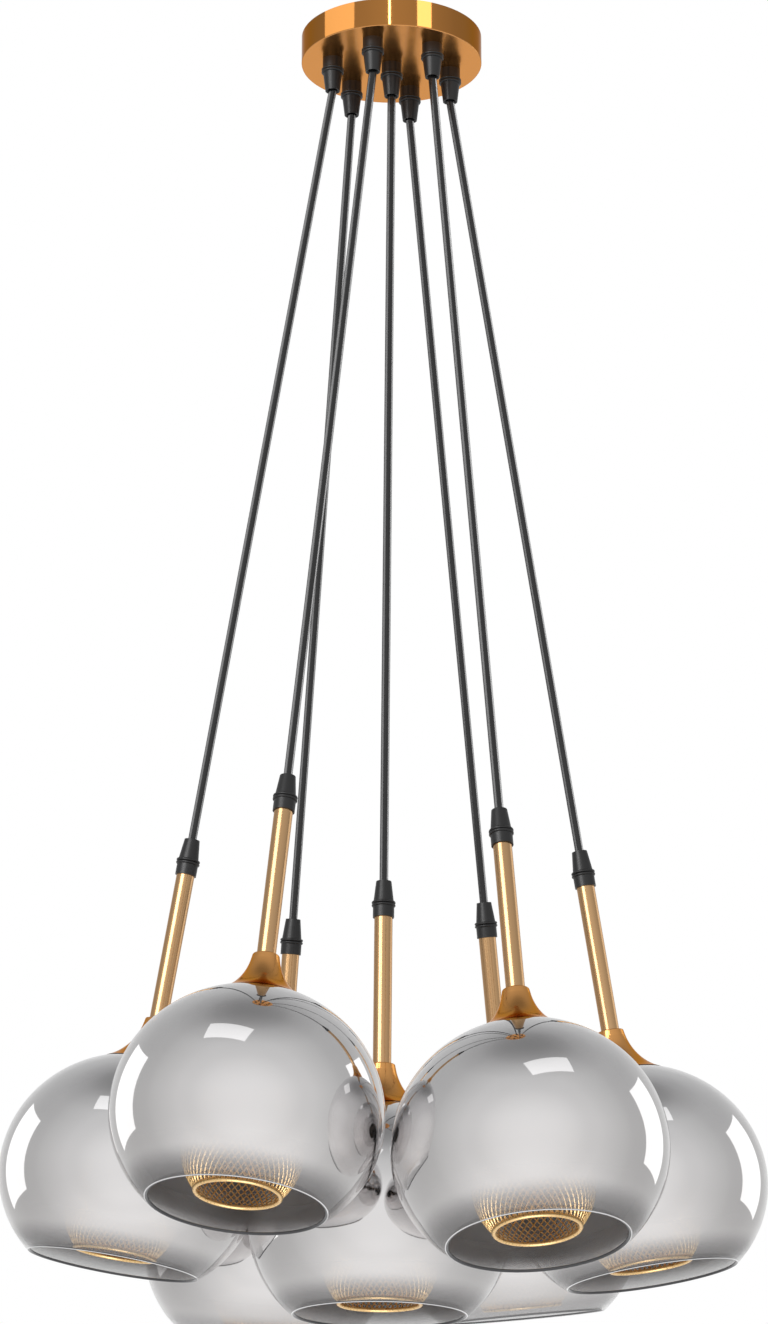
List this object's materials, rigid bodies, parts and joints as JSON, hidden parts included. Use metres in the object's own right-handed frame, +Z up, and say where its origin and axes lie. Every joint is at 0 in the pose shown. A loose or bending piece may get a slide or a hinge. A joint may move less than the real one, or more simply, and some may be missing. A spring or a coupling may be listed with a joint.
{
  "type": "cluster pendant light",
  "caption": "Round ceiling canopy with a cluster of smoke-glass globe pendants on straight cables, each with a brass stem, flared cap and inner mesh basket.",
  "frame": {"origin": "middle of the canopy and of the bracket's top face, at the ceiling", "axes": "+Z up into the ceiling, +X to the right, -Y towards the viewer of the picture"},
  "size_m": [0.5895, 0.5984, 1.0672],
  "materials": {
    "brushed_canopy": "brushed copper-gold plating, mirror-like wall, satin underside",
    "satin_brass": "satin brass",
    "gold_brass": "polished orange gold",
    "gold_mesh": "gold expanded mesh",
    "smoke_glass": "smoke grey, half-mirrored",
    "black_plastic": "moulded black, fine grain",
    "holder_plastic": "moulded black, slightly glossy",
    "cable_sheath": "smooth black sheath, slightly glossy",
    "core_sheath": "insulated cores",
    "terminal_plastic": "off-white moulding",
    "zinc_steel": "bright zinc plated",
    "brass_screws": "plated to match the canopy"
  },
  "bodies": {
    "root": {"canopy": "brushed_canopy", "ceiling_bracket": "zinc_steel", "canopy_screws": "brass_screws", "canopy_grips": "black_plastic", "grip_nuts": "zinc_steel", "cable_tails": "cable_sheath", "core_leads": "core_sheath", "terminal_block": "terminal_plastic", "block_screws": "zinc_steel"},
    "pendant_centre": {"cable_centre": "cable_sheath", "tube_grip_centre": "black_plastic", "tube_centre": "satin_brass", "cap_centre": "gold_brass", "shade_centre": "smoke_glass", "lamp_holder_centre": "holder_plastic", "basket_centre": "gold_mesh"},
    "pendant_front_left": {"cable_front_left": "cable_sheath", "tube_grip_front_left": "black_plastic", "tube_front_left": "satin_brass", "cap_front_left": "gold_brass", "shade_front_left": "smoke_glass", "lamp_holder_front_left": "holder_plastic", "basket_front_left": "gold_mesh"},
    "pendant_front_right": {"cable_front_right": "cable_sheath", "tube_grip_front_right": "black_plastic", "tube_front_right": "satin_brass", "cap_front_right": "gold_brass", "shade_front_right": "smoke_glass", "lamp_holder_front_right": "holder_plastic", "basket_front_right": "gold_mesh"},
    "pendant_right": {"cable_right": "cable_sheath", "tube_grip_right": "black_plastic", "tube_right": "satin_brass", "cap_right": "gold_brass", "shade_right": "smoke_glass", "lamp_holder_right": "holder_plastic", "basket_right": "gold_mesh"},
    "pendant_rear_right": {"cable_rear_right": "cable_sheath", "tube_grip_rear_right": "black_plastic", "tube_rear_right": "satin_brass", "cap_rear_right": "gold_brass", "shade_rear_right": "smoke_glass", "lamp_holder_rear_right": "holder_plastic", "basket_rear_right": "gold_mesh"},
    "pendant_rear_left": {"cable_rear_left": "cable_sheath", "tube_grip_rear_left": "black_plastic", "tube_rear_left": "satin_brass", "cap_rear_left": "gold_brass", "shade_rear_left": "smoke_glass", "lamp_holder_rear_left": "holder_plastic", "basket_rear_left": "gold_mesh"},
    "pendant_left": {"cable_left": "cable_sheath", "tube_grip_left": "black_plastic", "tube_left": "satin_brass", "cap_left": "gold_brass", "shade_left": "smoke_glass", "lamp_holder_left": "holder_plastic", "basket_left": "gold_mesh"}
  },
  "joints": [
    {"name": "twist_centre", "type": "hinge", "parent": "root", "child": "pendant_centre", "pos_m": [0, 0, -0.0529], "axis": [0.0095, 0.0265, 0.9996], "range_deg": [-180, 180]},
    {"name": "swing_front_left", "type": "hinge", "parent": "root", "child": "pendant_front_left", "pos_m": [-0.01545, -0.04755, -0.0529], "axis": [-0.8499, 0.5269, 0], "range_deg": [0, 25]},
    {"name": "swing_front_right", "type": "hinge", "parent": "root", "child": "pendant_front_right", "pos_m": [0.03346, -0.03716, -0.0529], "axis": [-0.9381, -0.3463, 0], "range_deg": [0, 25]},
    {"name": "swing_right", "type": "hinge", "parent": "root", "child": "pendant_right", "pos_m": [0.04891, 0.0104, -0.0529], "axis": [-0.0316, -0.9995, 0], "range_deg": [0, 25]},
    {"name": "swing_rear_right", "type": "hinge", "parent": "root", "child": "pendant_rear_right", "pos_m": [0.01545, 0.04755, -0.0529], "axis": [0.8551, -0.5185, 0], "range_deg": [0, 25]},
    {"name": "swing_rear_left", "type": "hinge", "parent": "root", "child": "pendant_rear_left", "pos_m": [-0.03346, 0.03716, -0.0529], "axis": [0.9031, 0.4294, 0], "range_deg": [0, 25]},
    {"name": "swing_left", "type": "hinge", "parent": "root", "child": "pendant_left", "pos_m": [-0.04891, -0.0104, -0.0529], "axis": [0.1129, 0.9936, 0], "range_deg": [0, 25]}
  ]
}
